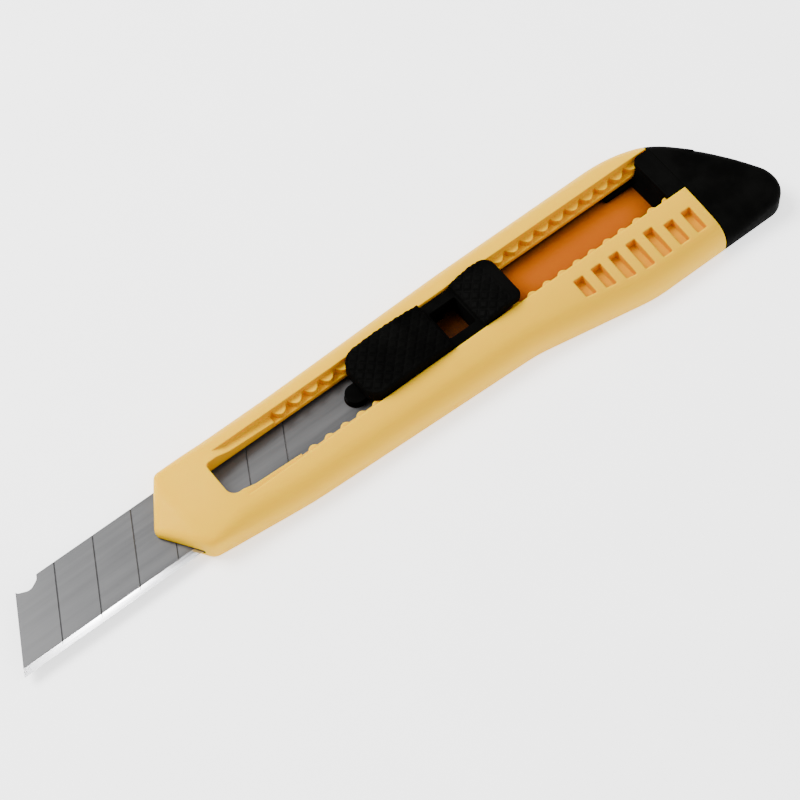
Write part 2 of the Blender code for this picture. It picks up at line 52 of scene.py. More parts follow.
# Handle and cap.
MIDLINE_Y = 9.0 * MM
SPINE_SIDE_Y = 20.8 * MM
BELLY_SIDE_Y = -12.4 * MM
BACK_Z = -3.0 * MM
FRONT_Z = 6.2 * MM
HANDLE_END_X = 201.2 * MM
FAR_X = 208.0 * MM
SEAM_X = 182.6 * MM
BACK_EDGE_ROUND = 1.2 * MM
NOSE_EDGE_ROUND = 1.3 * MM
SPINE_EDGE_ROUND = 3.0 * MM
BELLY_EDGE_ROUND = 4.3 * MM
CAP_EDGE_ROUND = 2.6 * MM
BELLY_FALL = 1.5 * MM
SPINE_FALL = 0.5 * MM

# Channel, window and racks.
FLOOR_Z = -0.8 * MM
NOSE_SLOT_TOP_Z = 0.35 * MM
GROOVE_TOP_Z = 1.0 * MM
GROOVE_SIDES_Y = (-0.35 * MM, 18.35 * MM)
GROOVE_START_X = 55.5 * MM
MOUTH_START_X = 176.0 * MM
MOUTH_TOP_Y = 16.9 * MM
LEDGE_Z = 2.3 * MM
THROAT_HALF_WIDTH = 4.95 * MM
WINDOW_HALF_WIDTH = 6.75 * MM
WINDOW_START_X = 57.3 * MM
TRACK_Z = 4.15 * MM
TRACK_START = (59.8 * MM, 5.75 * MM)
LAND_START_X = 63.4 * MM
LAND_END = (76.4 * MM, 3.1 * MM)
RACK_START_X = 75.6 * MM
RACK_FIRST_X = 78.2 * MM
RACK_PITCH = 4.33 * MM
RACK_COUNT = 24
TOOTH_FOOT = 1.85 * MM
TOOTH_HEIGHT = 1.65 * MM
TOOTH_FULLNESS = 2.1
TOOTH_STEPS = 16

# Grip pockets.
POCKET_COUNT = 7
LONG_POCKET_COUNT = 5
POCKET_FIRST_X = 147.2 * MM
POCKET_PITCH = 5.0 * MM
POCKET_WIDTH = 2.7 * MM
POCKET_CORNER = 0.3 * MM
POCKET_FLOOR_Z = 3.4 * MM
POCKET_TOP_Y = -0.9 * MM
SHORT_POCKET_TOP_Y = -2.2 * MM
POCKET_BELLY_MARGIN = 4.05 * MM

# Blade.
BLADE_WIDTH = 18.0 * MM
BLADE_LENGTH = 100.0 * MM
BLADE_THICKNESS = 0.5 * MM
GROUND_WIDTH = 1.8 * MM
EDGE_HALF_LAND = 0.02 * MM
TAIL_CHAMFER = 2.0 * MM
SCORE_PITCH = 10.0 * MM
SCORE_COUNT = 7
SCORE_SLOPE = math.tan(math.radians(28.5))
SCORE_OVERRUN = 4.0 * MM
SCORE_HALF_WIDTH = 0.32 * MM
SCORE_DEPTH = 0.13 * MM
PIN_X = 94.0 * MM
TAIL_HOLE_RADIUS = 2.6 * MM

# Slider.
SLIDER_HALF_WIDTH = 6.45 * MM
NECK_HALF_WIDTH = 4.3 * MM
SHOE_HALF_WIDTH = 3.7 * MM
HOLE_HALF_WIDTH = 3.9 * MM
DECK_Z = 4.45 * MM
BRIDGE_Z = 5.4 * MM
NECK_BOTTOM_Z = 1.0 * MM
SHOE_TOP_Z = 0.7 * MM
NECK_START_X = 96.5 * MM
DECK_START_X = 98.5 * MM
SHOE_START_X = 101.0 * MM
FLANGE_END_X = 121.5 * MM
SHOE_END_X = 129.3 * MM
DECK_END_X = 131.0 * MM
HOLE_X = (117.4 * MM, 124.75 * MM)
DETENT_X = 121.1 * MM
DETENT_RADIUS = 1.0 * MM
DETENT_BOTTOM_Z = 2.5 * MM
NUB_RADIUS = 2.4 * MM
NUB_END_X = 97.0 * MM
NUB_TOP_Z = 2.0 * MM
PIN_RADIUS = 2.25 * MM
FRONT_PAD_X = (94.4 * MM, 116.3 * MM)
REAR_PAD_X = (124.9 * MM, 136.4 * MM)
REAR_PAD_FOOT_Z = 6.5 * MM
PAD_STEP = 0.13 * MM
PAD_EDGE_ROUND = 0.5 * MM
PAD_CROWN_Z = 9.22 * MM
PAD_CROWN_RISE = 1.2 * MM
KNURL_PITCH = 2.05 * MM
KNURL_HALF_WIDTH = 0.52 * MM
KNURL_DEPTH = 0.34 * MM
KNURL_FADE = 0.5 * MM

# End cap.
PLUG_FOOT_X = 176.4 * MM
PLUG_SHOULDER_X = 177.83 * MM
PLUG_ROOT_X = 185.0 * MM
PLUG_HALF_WIDTH = 4.6 * MM
PLUG_TOP_Z = 4.6 * MM
TAB_X = (177.9 * MM, 183.2 * MM)
TAB_TOP_Z = 5.9 * MM
ARM_X = (168.8 * MM, 183.8 * MM)
ARMS_Y = ((-0.05 * MM, 4.9 * MM), (13.1 * MM, 16.6 * MM))
ARM_CORNER = 0.6 * MM
SLIT_LOW_PLACE = (194.2 * MM, -8.0 * MM)
SLIT_HIGH_PLACE = (185.5 * MM, 12.0 * MM)
SLIT_Z = (1.1 * MM, 2.1 * MM)

TO_FRAME = Matrix.Translation(
    (-HANDLE_END_X / 2, -(SPINE_SIDE_Y + BELLY_SIDE_Y) / 2, -BACK_Z)
)

# Corners are (x, y, radius), in order round the handle.
HANDLE_CORNERS = [
    (39.95 * MM, 9.1 * MM, 2.0 * MM),
    (47.6 * MM, -2.1 * MM, 3.0 * MM),
    (72.0 * MM, -4.7 * MM, 100.0 * MM),
    (132.5 * MM, -6.9 * MM, 35.0 * MM),
    (162.0 * MM, BELLY_SIDE_Y, 35.0 * MM),
    (HANDLE_END_X, BELLY_SIDE_Y, 4.7 * MM),
    (HANDLE_END_X, -5.2 * MM, 8.0 * MM),
    (192.25 * MM, 8.8 * MM, 40.0 * MM),
    (184.6 * MM, 17.0 * MM, 20.0 * MM),
    (174.1 * MM, SPINE_SIDE_Y, 34.0 * MM),
    (125.0 * MM, SPINE_SIDE_Y, 150.0 * MM),
    (78.0 * MM, 19.9 * MM, 150.0 * MM),
    (47.7 * MM, 19.95 * MM, 2.0 * MM),
]

# Heights of the front and back faces along the handle, and of the rear pad, as (x, z) in
# millimetres.
FRONT_HEIGHTS = ((40, 2.6), (47, 4.5), (58, 5.5), (140, 6.2))
BACK_HEIGHTS = ((38, -2.3), (52, -3.0))
REAR_PAD_HEIGHTS = (
    (124.9, 7.4),
    (127.5, 8.35),
    (130.0, 9.0),
    (131.6, 9.15),
    (133.0, 8.85),
    (136.4, 7.3),
)


# ---------------------------------------------------------------- solids


def rounded(corners, step=math.radians(4)):
    """The closed outline through (x, y, radius) corners, with each corner made an arc."""
    outline = []
    for i, (x, y, radius) in enumerate(corners):
        corner = Vector((x, y))
        if radius == 0:
            outline.append(corner)
            continue
        before = (Vector(corners[i - 1][:2]) - corner).normalized()
        after = (Vector(corners[(i + 1) % len(corners)][:2]) - corner).normalized()
        turn = math.pi - before.angle(after)
        centre = corner + (before + after).normalized() * (radius / math.cos(turn / 2))
        reach = radius * math.tan(turn / 2)
        start = corner + before * reach - centre
        end = corner + after * reach - centre
        count = max(2, math.ceil(turn / step))
        outline += [centre + start.slerp(end, k / count) * radius for k in range(count + 1)]
    return outline


def box_outline(x_low, x_high, y_low, y_high, corner=0.0):
    places = ((x_low, y_low), (x_high, y_low), (x_high, y_high), (x_low, y_high))
    return rounded([(x, y, corner) for x, y in places])


def both_sides(half_width):
    return MIDLINE_Y - half_width, MIDLINE_Y + half_width


def bake(thing):
    graph = bpy.context.evaluated_depsgraph_get()
    return bpy.data.meshes.new_from_object(thing.evaluated_get(graph))


def weld(mesh):
    shape = bmesh.new()
    shape.from_mesh(mesh)
    bmesh.ops.remove_doubles(shape, verts=shape.verts, dist=0.001 * MM)
    shape.to_mesh(mesh)
    shape.free()


def add(name, mesh):
    made = bpy.data.objects.new(name, mesh)
    bpy.context.scene.collection.objects.link(made)
    return made


def prism(name, outline, low, high, turn=Matrix.Identity(4)):
    """A flat outline made solid from low to high, then turned about the blade's axes."""
    curve = bpy.data.curves.new(name, "CURVE")
    curve.dimensions = "2D"
    curve.fill_mode = "BOTH"
    curve.extrude = (high - low) / 2
    spline = curve.splines.new("POLY")
    spline.points.add(len(outline) - 1)
    for point, place in zip(spline.points, outline):
        point.co = (place[0], place[1], 0, 1)
    spline.use_cyclic_u = True
    drawn = add(name + "_curve", curve)
    mesh = bake(drawn)
    bpy.data.objects.remove(drawn)
    mesh.transform(turn @ Matrix.Translation((0, 0, (low + high) / 2)))
    weld(mesh)
    return add(name, mesh)


def side_prism(name, outline, low, high):
    """The same for an outline in X and Z, solid from low to high along Y."""
    return prism(name, outline, -high, -low, Matrix.Rotation(math.pi / 2, 4, "X"))


def end_prism(name, outline, low, high):
    """The same for an outline in Y and Z, solid from low to high along X."""
    turn = Matrix(((0, 0, 1, 0), (1, 0, 0, 0), (0, 1, 0, 0), (0, 0, 0, 1)))
    return prism(name, outline, low, high, turn)


def rod(name, centre, radius, low, high):
    ring = [(radius, 0), (0, radius), (-radius, 0), (0, -radius)]
    corner = [(ring[i][0] + ring[i - 1][0], ring[i][1] + ring[i - 1][1]) for i in range(4)]
    outline = rounded([(centre[0] + x, centre[1] + y, radius) for x, y in corner])
    return prism(name, outline[:-1], low, high)


def apply(body):
    """Makes the modified shape the body's own mesh."""
    mesh = bake(body)
    body.modifiers.clear()
    body.data = mesh
    return body


def combine(body, others, operation):
    """Joins to the body, or cuts from it, each of the others, and removes them."""
    for other in others:
        modifier = body.modifiers.new("boolean", "BOOLEAN")
        modifier.operation = operation
        modifier.object = other
        modifier.solver = "EXACT"
    apply(body)
    for other in others:
        bpy.data.objects.remove(other)
    return body


def bevel(body, width, segments, angle):
    modifier = body.modifiers.new("bevel", "BEVEL")
    modifier.width = width
    modifier.segments = segments
    modifier.limit_method = "ANGLE"
    modifier.angle_limit = math.radians(angle)
    return apply(body)


def finish_piece(piece, body, nodes, material, smooth_angle=32):
    """Smooth shading, material, and the piece's place in the frame."""
    mesh = piece.data
    mesh.transform(TO_FRAME)
    mesh.shade_smooth()
    mesh.set_sharp_from_angle(angle=math.radians(smooth_angle))
    mesh.materials.clear()
    mesh.materials.append(material)
    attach(piece, body)
    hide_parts(*nodes)


def inset(corners, distance):
    """The corners of the same outline drawn in by a distance."""
    moved = []
    for i, (x, y, radius) in enumerate(corners):
        corner = Vector((x, y))
        before = (corner - Vector(corners[i - 1][:2])).normalized()
        after = (Vector(corners[(i + 1) % len(corners)][:2]) - corner).normalized()
        into = Vector((-before.y - after.y, before.x + after.x)) / (1 + before.dot(after))
        convex = before.cross(after) > 0
        drawn = max(0.05 * MM, radius - distance) if convex else radius + distance
        place = corner + into * distance
        moved.append((place.x, place.y, drawn))
    return moved


def eased(share):
    share = min(1.0, max(0.0, share))
    return share * share * (3 - 2 * share)


def edge_radius(x, y):
    """The radius that rounds the moulding's front edge near a place."""
    full = BELLY_EDGE_ROUND if y < MIDLINE_Y else SPINE_EDGE_ROUND
    full += (CAP_EDGE_ROUND - full) * min(1.0, max(0.0, (x - 186.0 * MM) / (10.0 * MM)))
    return NOSE_EDGE_ROUND + (full - NOSE_EDGE_ROUND) * eased((x - 46.5 * MM) / (14.0 * MM))


def height_along(x, heights):
    """A smooth height through (x, z) places, given in millimetres."""
    x = x / MM
    for (x0, z0), (x1, z1) in zip(heights, heights[1:]):
        if x <= x1:
            return (z0 + (z1 - z0) * eased((x - x0) / (x1 - x0))) * MM
    return heights[-1][1] * MM


def front_height(x, y):
    """The moulding's front face before its edges are rounded: a low crown, sloping at the nose."""
    belly = max(0.0, 1.0 * MM - y) / (13.0 * MM)
    spine = max(0.0, y - 16.5 * MM) / (4.3 * MM)
    return height_along(x, FRONT_HEIGHTS) - BELLY_FALL * belly**1.4 - SPINE_FALL * spine**2


def outline_distance(point, outline):
    """How far a point is inside the outline."""
    nearest = 1.0
    for a, b in zip(outline, outline[1:] + outline[:1]):
        along = b - a
        share = (point - a).dot(along) / max(along.length_squared, 1e-12)
        nearest = min(nearest, (point - a - along * min(1.0, max(0.0, share))).length)
    return nearest


def arc_inset(distance, radius):
    """How far a quarter-round edge of that radius draws in, at a distance from its end."""
    if distance >= radius:
        return 0.0
    gap = radius - max(distance, 0.0)
    return radius - math.sqrt(radius * radius - gap * gap)


def make_blank():
    """The handle and its cap as one moulding: rings drawn in from the outline, then shaped."""
    edge = rounded(HANDLE_CORNERS)
    turns = [math.pi / 2 * k / 9 for k in range(10)]
    front_insets = [BELLY_EDGE_ROUND * (1 - math.cos(a)) for a in turns]
    back_insets = [BACK_EDGE_ROUND * (1 - math.cos(a)) for a in turns[::3]]
    shape = bmesh.new()
    rings = []
    levels = [(d, -1.0) for d in back_insets[::-1]] + [(d, 1.0) for d in front_insets]
    for distance, level in levels:
        outline = rounded(inset(HANDLE_CORNERS, distance))
        rings.append([shape.verts.new((p.x, p.y, level)) for p in outline])
    for low, high in zip(rings, rings[1:]):
        for k in range(len(low)):
            n = (k + 1) % len(low)
            shape.faces.new((low[k], low[n], high[n], high[k]))
    shape.faces.new(rings[0][::-1])
    shape.faces.new(rings[-1])
    cuts = [((x * MM, 0, 0), (1, 0, 0)) for x in range(42, 200, 2)]
    cuts += [((0, y * MM, 0), (0, 1, 0)) for y in range(-11, 20, 2)]
    for place, direction in cuts:
        whole = shape.verts[:] + shape.edges[:] + shape.faces[:]
        bmesh.ops.bisect_plane(shape, geom=whole, dist=1e-7, plane_co=place, plane_no=direction)
    for vertex in shape.verts:
        x, y, level = vertex.co
        inside = outline_distance(Vector((x, y)), edge)
        if level > 0:
            vertex.co.z = front_height(x, y) - arc_inset(inside, edge_radius(x, y))
        else:
            vertex.co.z = height_along(x, BACK_HEIGHTS) + arc_inset(inside, BACK_EDGE_ROUND)
    bmesh.ops.remove_doubles(shape, verts=shape.verts, dist=0.002 * MM)
    bmesh.ops.triangulate(shape, faces=[f for f in shape.faces if len(f.verts) > 4])
    bmesh.ops.recalc_face_normals(shape, faces=shape.faces)
    mesh = bpy.data.meshes.new("blank")
    shape.to_mesh(mesh)
    shape.free()
    return add("blank", mesh)


def tooth_edge(centre_x, side):
    """One lobe of the rack seen from above."""
    wall = MIDLINE_Y + side * WINDOW_HALF_WIDTH
    points = []
    for k in range(TOOTH_STEPS + 1):
        off = -math.cos(math.pi * k / TOOTH_STEPS)
        height = TOOTH_HEIGHT * (1 - abs(off) ** TOOTH_FULLNESS)
        points.append((centre_x + TOOTH_FOOT * off, wall - side * height))
    return points


def rack_outline():
    """The space between the two racks, seen from above."""
    rows = []
    for side in (-1, 1):
        wall = MIDLINE_Y + side * WINDOW_HALF_WIDTH
        row = [(RACK_START_X, wall)]
        for k in range(RACK_COUNT):
            row += tooth_edge(RACK_FIRST_X + k * RACK_PITCH, side)
        rows.append(row + [(FAR_X, wall)])
    return rows[0] + rows[1][::-1]


def belly_at(x):
    """The belly side's Y at a place along the handle."""
    crossings = []
    outline = rounded(HANDLE_CORNERS)
    for a, b in zip(outline, outline[1:]):
        if min(a.x, b.x) <= x < max(a.x, b.x):
            crossings.append(a.y + (b.y - a.y) * (x - a.x) / (b.x - a.x))
    return min(crossings)


def grip_pocket(k):
    """The cutter for one blind pocket of the finger grip."""
    low_x = POCKET_FIRST_X + k * POCKET_PITCH
    high_x = low_x + POCKET_WIDTH
    top_y = POCKET_TOP_Y if k < LONG_POCKET_COUNT else SHORT_POCKET_TOP_Y
    corners = [
        (low_x, belly_at(low_x) + POCKET_BELLY_MARGIN, POCKET_CORNER),
        (high_x, belly_at(high_x) + POCKET_BELLY_MARGIN, POCKET_CORNER),
        (high_x, top_y, POCKET_CORNER),
        (low_x, top_y, POCKET_CORNER),
    ]
    outline = rounded(corners, math.radians(15))
    return prism(f"pocket_{k}", outline, POCKET_FLOOR_Z, FRONT_Z + REACH)


def side_of_seam(name, x_low, x_high):
    """The space on one side of the straight seam between handle and cap."""
    outline = box_outline(x_low, x_high, -22.0 * MM, 30.0 * MM)
    return prism(name, outline, BACK_Z - REACH, FRONT_Z + REACH)


def make_handle(blank):
    handle = add("handle_shell", blank.data.copy())
    cap_side = side_of_seam("cap_side", SEAM_X - GAP / 2, FAR_X)
    combine(handle, [cap_side], "DIFFERENCE")
    near_x = 32.0 * MM
    groove = side_prism(
        "groove",
        [
            (near_x, FLOOR_Z),
            (FAR_X, FLOOR_Z),
            (FAR_X, GROOVE_TOP_Z),
            (GROOVE_START_X, GROOVE_TOP_Z),
            (GROOVE_START_X, NOSE_SLOT_TOP_Z),
            (near_x, NOSE_SLOT_TOP_Z),
        ],
        *GROOVE_SIDES_Y,
    )
    # The groove narrows at its mouth, where the handle's spine side curves in.
    mouth_wall = prism(
        "mouth_wall",
        box_outline(MOUTH_START_X, FAR_X + REACH, MOUTH_TOP_Y, SPINE_SIDE_Y + REACH),
        -REACH,
        GROOVE_TOP_Z + REACH,
    )
    combine(groove, [mouth_wall], "DIFFERENCE")
    low, high = both_sides(THROAT_HALF_WIDTH)
    throat_outline = rounded(
        [
            (WINDOW_START_X, low, 2.3 * MM),
            (FAR_X, low, 0),
            (FAR_X, high, 0),
            (WINDOW_START_X, high, 1.0 * MM),
        ]
    )
    throat = prism("throat", throat_outline, FLOOR_Z + OVERLAP, FRONT_Z + REACH)
    rack = prism("rack", rack_outline(), LEDGE_Z, TRACK_Z + OVERLAP)
    track = side_prism(
        "track",
        [
            TRACK_START,
            (LAND_START_X, TRACK_Z),
            (FAR_X, TRACK_Z),
            (FAR_X, FRONT_Z + REACH),
            (TRACK_START[0], FRONT_Z + REACH),
        ],
        *both_sides(WINDOW_HALF_WIDTH),
    )
    land = side_prism(
        "land",
        [
            (LAND_START_X, TRACK_Z),
            LAND_END,
            (LAND_END[0], TRACK_Z + OVERLAP),
            (LAND_START_X, TRACK_Z + OVERLAP),
        ],
        *both_sides(WINDOW_HALF_WIDTH),
    )
    pockets = [grip_pocket(k) for k in range(POCKET_COUNT)]
    return combine(handle, [groove, throat, rack, track, land, *pockets], "DIFFERENCE")


def make_blade():
    outline = [
        (0, 0),
        (BLADE_LENGTH - TAIL_CHAMFER, 0),
        (BLADE_LENGTH, TAIL_CHAMFER),
        (BLADE_LENGTH, BLADE_WIDTH - TAIL_CHAMFER),
        (BLADE_LENGTH - TAIL_CHAMFER, BLADE_WIDTH),
        (BLADE_WIDTH * SCORE_SLOPE, BLADE_WIDTH),
    ]
    blade = prism("blade_steel", outline, -BLADE_THICKNESS, 0)
    cutters = []
    for side in (1, -1):
        face_z = (side - 1) * BLADE_THICKNESS / 2
        land_z = -BLADE_THICKNESS / 2 + side * EDGE_HALF_LAND
        wedge = [
            (-GROUND_WIDTH, 2 * land_z - face_z),
            (GROUND_WIDTH, face_z),
            (GROUND_WIDTH, face_z + side * REACH),
            (-GROUND_WIDTH, face_z + side * REACH),
        ]
        cutters.append(end_prism(f"grind_{side}", wedge, -REACH, BLADE_LENGTH + REACH))
        for k in range(SCORE_COUNT):
            foot_x = SCORE_PITCH * (k + 1)
            places_y = (-SCORE_OVERRUN, BLADE_WIDTH + SCORE_OVERRUN)
            ends = [(foot_x + y * SCORE_SLOPE, y) for y in places_y]
            cutters.append(score_cutter(f"score_{side}_{k}", ends, face_z, side))
    notch = rounded(
        [
            (8.6 * MM, 18.6 * MM, 0),
            (9.6 * MM, 16.7 * MM, 0.9 * MM),
            (12.2 * MM, 15.6 * MM, 2.2 * MM),
            (14.6 * MM, 16.9 * MM, 1.4 * MM),
            (15.6 * MM, 18.6 * MM, 0),
            (15.6 * MM, 21.0 * MM, 0),
            (6.0 * MM, 21.0 * MM, 0),
            (6.0 * MM, 18.6 * MM, 0),
        ],
        math.radians(8),
    )
    cutters.append(prism("notch", notch, -REACH, REACH))
    cutters.append(rod("tail_hole", (PIN_X, MIDLINE_Y), TAIL_HOLE_RADIUS, -REACH, REACH))
    return combine(blade, cutters, "DIFFERENCE")


def score_cutter(name, ends, face_z, side):
    """A V-shaped cutter along a score line."""
    start, end = Vector((*ends[0], face_z)), Vector((*ends[1], face_z))
    along = (end - start).normalized()
    across = along.cross(Vector((0, 0, 1)))
    up = Vector((0, 0, side))
    shape = bmesh.new()
    rings = []
    for place in (start, end):
        places = (
            place - across * SCORE_HALF_WIDTH + up * SCORE_DEPTH,
            place - up * SCORE_DEPTH,
            place + across * SCORE_HALF_WIDTH + up * SCORE_DEPTH,
        )
        rings.append([shape.verts.new(p) for p in places])
    for i in range(3):
        j = (i + 1) % 3
        shape.faces.new((rings[0][i], rings[0][j], rings[1][j], rings[1][i]))
    shape.faces.new(rings[0])
    shape.faces.new(rings[1][::-1])
    bmesh.ops.recalc_face_normals(shape, faces=shape.faces)
    mesh = bpy.data.meshes.new(name)
    shape.to_mesh(mesh)
    shape.free()
    return add(name, mesh)


# ---------------------------------------------------------------- slider


def knurl_cut(x, y):
    """Depth of the crossed V-grooves at a place on a pad."""
    deepest = 0.0
    for across in ((x + y) / math.sqrt(2), (x - y) / math.sqrt(2)):
        off = abs((across / KNURL_PITCH) % 1.0 - 0.5) * KNURL_PITCH
        deepest = max(deepest, 1.0 - off / KNURL_HALF_WIDTH)
    return KNURL_DEPTH * deepest


def make_pad(name, span, corners, crown, foot, knurl_end):
    """A thumb pad: a fine grid over its rounded plan, raised to the crown and knurled."""
    low, high = span
    nx = round((high - low) / PAD_STEP)
    ny = round(2 * SLIDER_HALF_WIDTH / PAD_STEP)
    shape = bmesh.new()
    grid = []
    for i in range(nx + 1):
        x = low + (high - low) * i / nx
        width = SLIDER_HALF_WIDTH
        width -= arc_inset(x - low, corners[0]) + arc_inset(high - x, corners[1])
        row = []
        for j in range(ny + 1):
            y = width * (2 * j / ny - 1)
            z = crown(x)
            if x < knurl_end:
                z -= knurl_cut(x, y) * min(1.0, (knurl_end - x) / KNURL_FADE)
            z -= arc_inset(min(width - abs(y), x - low, high - x), PAD_EDGE_ROUND)
            row.append(shape.verts.new((x, MIDLINE_Y + y, z)))
        grid.append(row)
    for i in range(nx):
        for j in range(ny):
            shape.faces.new((grid[i][j], grid[i + 1][j], grid[i + 1][j + 1], grid[i][j + 1]))
    rim = [grid[i][0] for i in range(nx + 1)]
    rim += [grid[nx][j] for j in range(1, ny + 1)]
    rim += [grid[i][ny] for i in range(nx - 1, -1, -1)]
    rim += [grid[0][j] for j in range(ny - 1, 0, -1)]
    base = [shape.verts.new((v.co.x, v.co.y, foot)) for v in rim]
    for k in range(len(rim)):
        n = (k + 1) % len(rim)
        shape.faces.new((rim[n], rim[k], base[k], base[n]))
    shape.faces.new(base[::-1])
    mesh = bpy.data.meshes.new(name)
    shape.to_mesh(mesh)
    shape.free()
    return add(name, mesh)


def front_crown(x):
    """The front pad's height: an arc, highest a little ahead of its middle."""
    off = (x - 105.3 * MM) / (10.95 * MM)
    return PAD_CROWN_Z - PAD_CROWN_RISE * off * off


def rear_crown(x):
    """The rear pad's height: rising to a ridge, then a slope down to its thin rear edge."""
    for (x0, z0), (x1, z1) in zip(REAR_PAD_HEIGHTS, REAR_PAD_HEIGHTS[1:]):
        if x <= x1 * MM:
            share = (x / MM - x0) / (x1 - x0)
            return (z0 + (z1 - z0) * share) * MM
    return REAR_PAD_HEIGHTS[-1][1] * MM


def make_slider_body():
    deck_outline = box_outline(DECK_START_X, DECK_END_X, *both_sides(SLIDER_HALF_WIDTH), 0.5 * MM)
    deck = prism("slider_deck", deck_outline, DECK_Z, BRIDGE_Z)
    bevel(deck, 0.25 * MM, 3, 50)
    neck_outline = box_outline(NECK_START_X, SHOE_END_X, *both_sides(NECK_HALF_WIDTH))
    neck = prism("neck", neck_outline, NECK_BOTTOM_Z, DECK_Z + OVERLAP)
    shoe_outline = box_outline(SHOE_START_X, SHOE_END_X, *both_sides(SHOE_HALF_WIDTH))
    shoe = prism("shoe", shoe_outline, -BLADE_THICKNESS, NECK_BOTTOM_Z + OVERLAP)
    low_y, high_y = GROOVE_SIDES_Y
    flange_outline = box_outline(
        SHOE_START_X + OVERLAP, FLANGE_END_X, low_y + GAP, high_y - GAP, ARM_CORNER
    )
    flanges = prism("flanges", flange_outline, -BLADE_THICKNESS, SHOE_TOP_Z)
    beams = [
        rod(f"detent_{k}", (DETENT_X, y), DETENT_RADIUS, DETENT_BOTTOM_Z, DECK_Z + OVERLAP)
        for k, y in enumerate(both_sides(NECK_HALF_WIDTH + GAP - DETENT_RADIUS))
    ]
    combine(deck, [neck, shoe, flanges, *beams], "UNION")
    hole_outline = box_outline(*HOLE_X, *both_sides(HOLE_HALF_WIDTH), 0.5 * MM)
    hole = prism("hole", hole_outline, -REACH, FRONT_Z + REACH)
    return combine(deck, [hole], "DIFFERENCE")


def make_nub():
    """The blade pin's round head and the tongue behind it."""
    outline = rounded(
        [
            (PIN_X - NUB_RADIUS, MIDLINE_Y - NUB_RADIUS, NUB_RADIUS),
            (NUB_END_X, MIDLINE_Y - NUB_RADIUS, 0),
            (NUB_END_X, MIDLINE_Y + NUB_RADIUS, 0),
            (PIN_X - NUB_RADIUS, MIDLINE_Y + NUB_RADIUS, NUB_RADIUS),
        ]
    )
    nub = prism("slider_nub", outline, GAP, NUB_TOP_Z)
    bevel(nub, 0.55 * MM, 4, 50)
    pin = rod("pin", (PIN_X, MIDLINE_Y), PIN_RADIUS, -BLADE_THICKNESS, 3 * GAP)
    return combine(nub, [pin], "UNION")


# ---------------------------------------------------------------- end cap


def make_cap(blank):
    cap = add("cap_shell", blank.data.copy())
    handle_side = side_of_seam("handle_side", 30.0 * MM, SEAM_X + GAP / 2)
    combine(cap, [handle_side], "DIFFERENCE")
    plug_profile = [
        (PLUG_FOOT_X, -BLADE_THICKNESS),
        (PLUG_ROOT_X, -BLADE_THICKNESS),
        (PLUG_ROOT_X, PLUG_TOP_Z),
        (PLUG_SHOULDER_X, PLUG_TOP_Z),
    ]
    plug = side_prism("plug", plug_profile, *both_sides(PLUG_HALF_WIDTH))
    low_y, high_y = both_sides(WINDOW_HALF_WIDTH - GAP)
    tab_corners = [
        (TAB_X[0], low_y, 0.5 * MM),
        (TAB_X[1], low_y, 0),
        (TAB_X[1], high_y, 0),
        (TAB_X[0], high_y, 1.6 * MM),
    ]
    tab = prism("tab", rounded(tab_corners), DECK_Z, TAB_TOP_Z)
    bevel(tab, 0.3 * MM, 3, 50)
    arms = []
    for k, sides in enumerate(ARMS_Y):
        outline = box_outline(*ARM_X, *sides, ARM_CORNER)
        arms.append(prism(f"arm_{k}", outline, -BLADE_THICKNESS, SHOE_TOP_Z))
    combine(cap, [plug, tab, *arms], "UNION")
    slit_outline = [
        SLIT_LOW_PLACE,
        (FAR_X, SLIT_LOW_PLACE[1]),
        (FAR_X, SLIT_HIGH_PLACE[1]),
        SLIT_HIGH_PLACE,
    ]
    slit = prism("slit", slit_outline, *SLIT_Z)
    return combine(cap, [slit], "DIFFERENCE")


# ---------------------------------------------------------------- materials


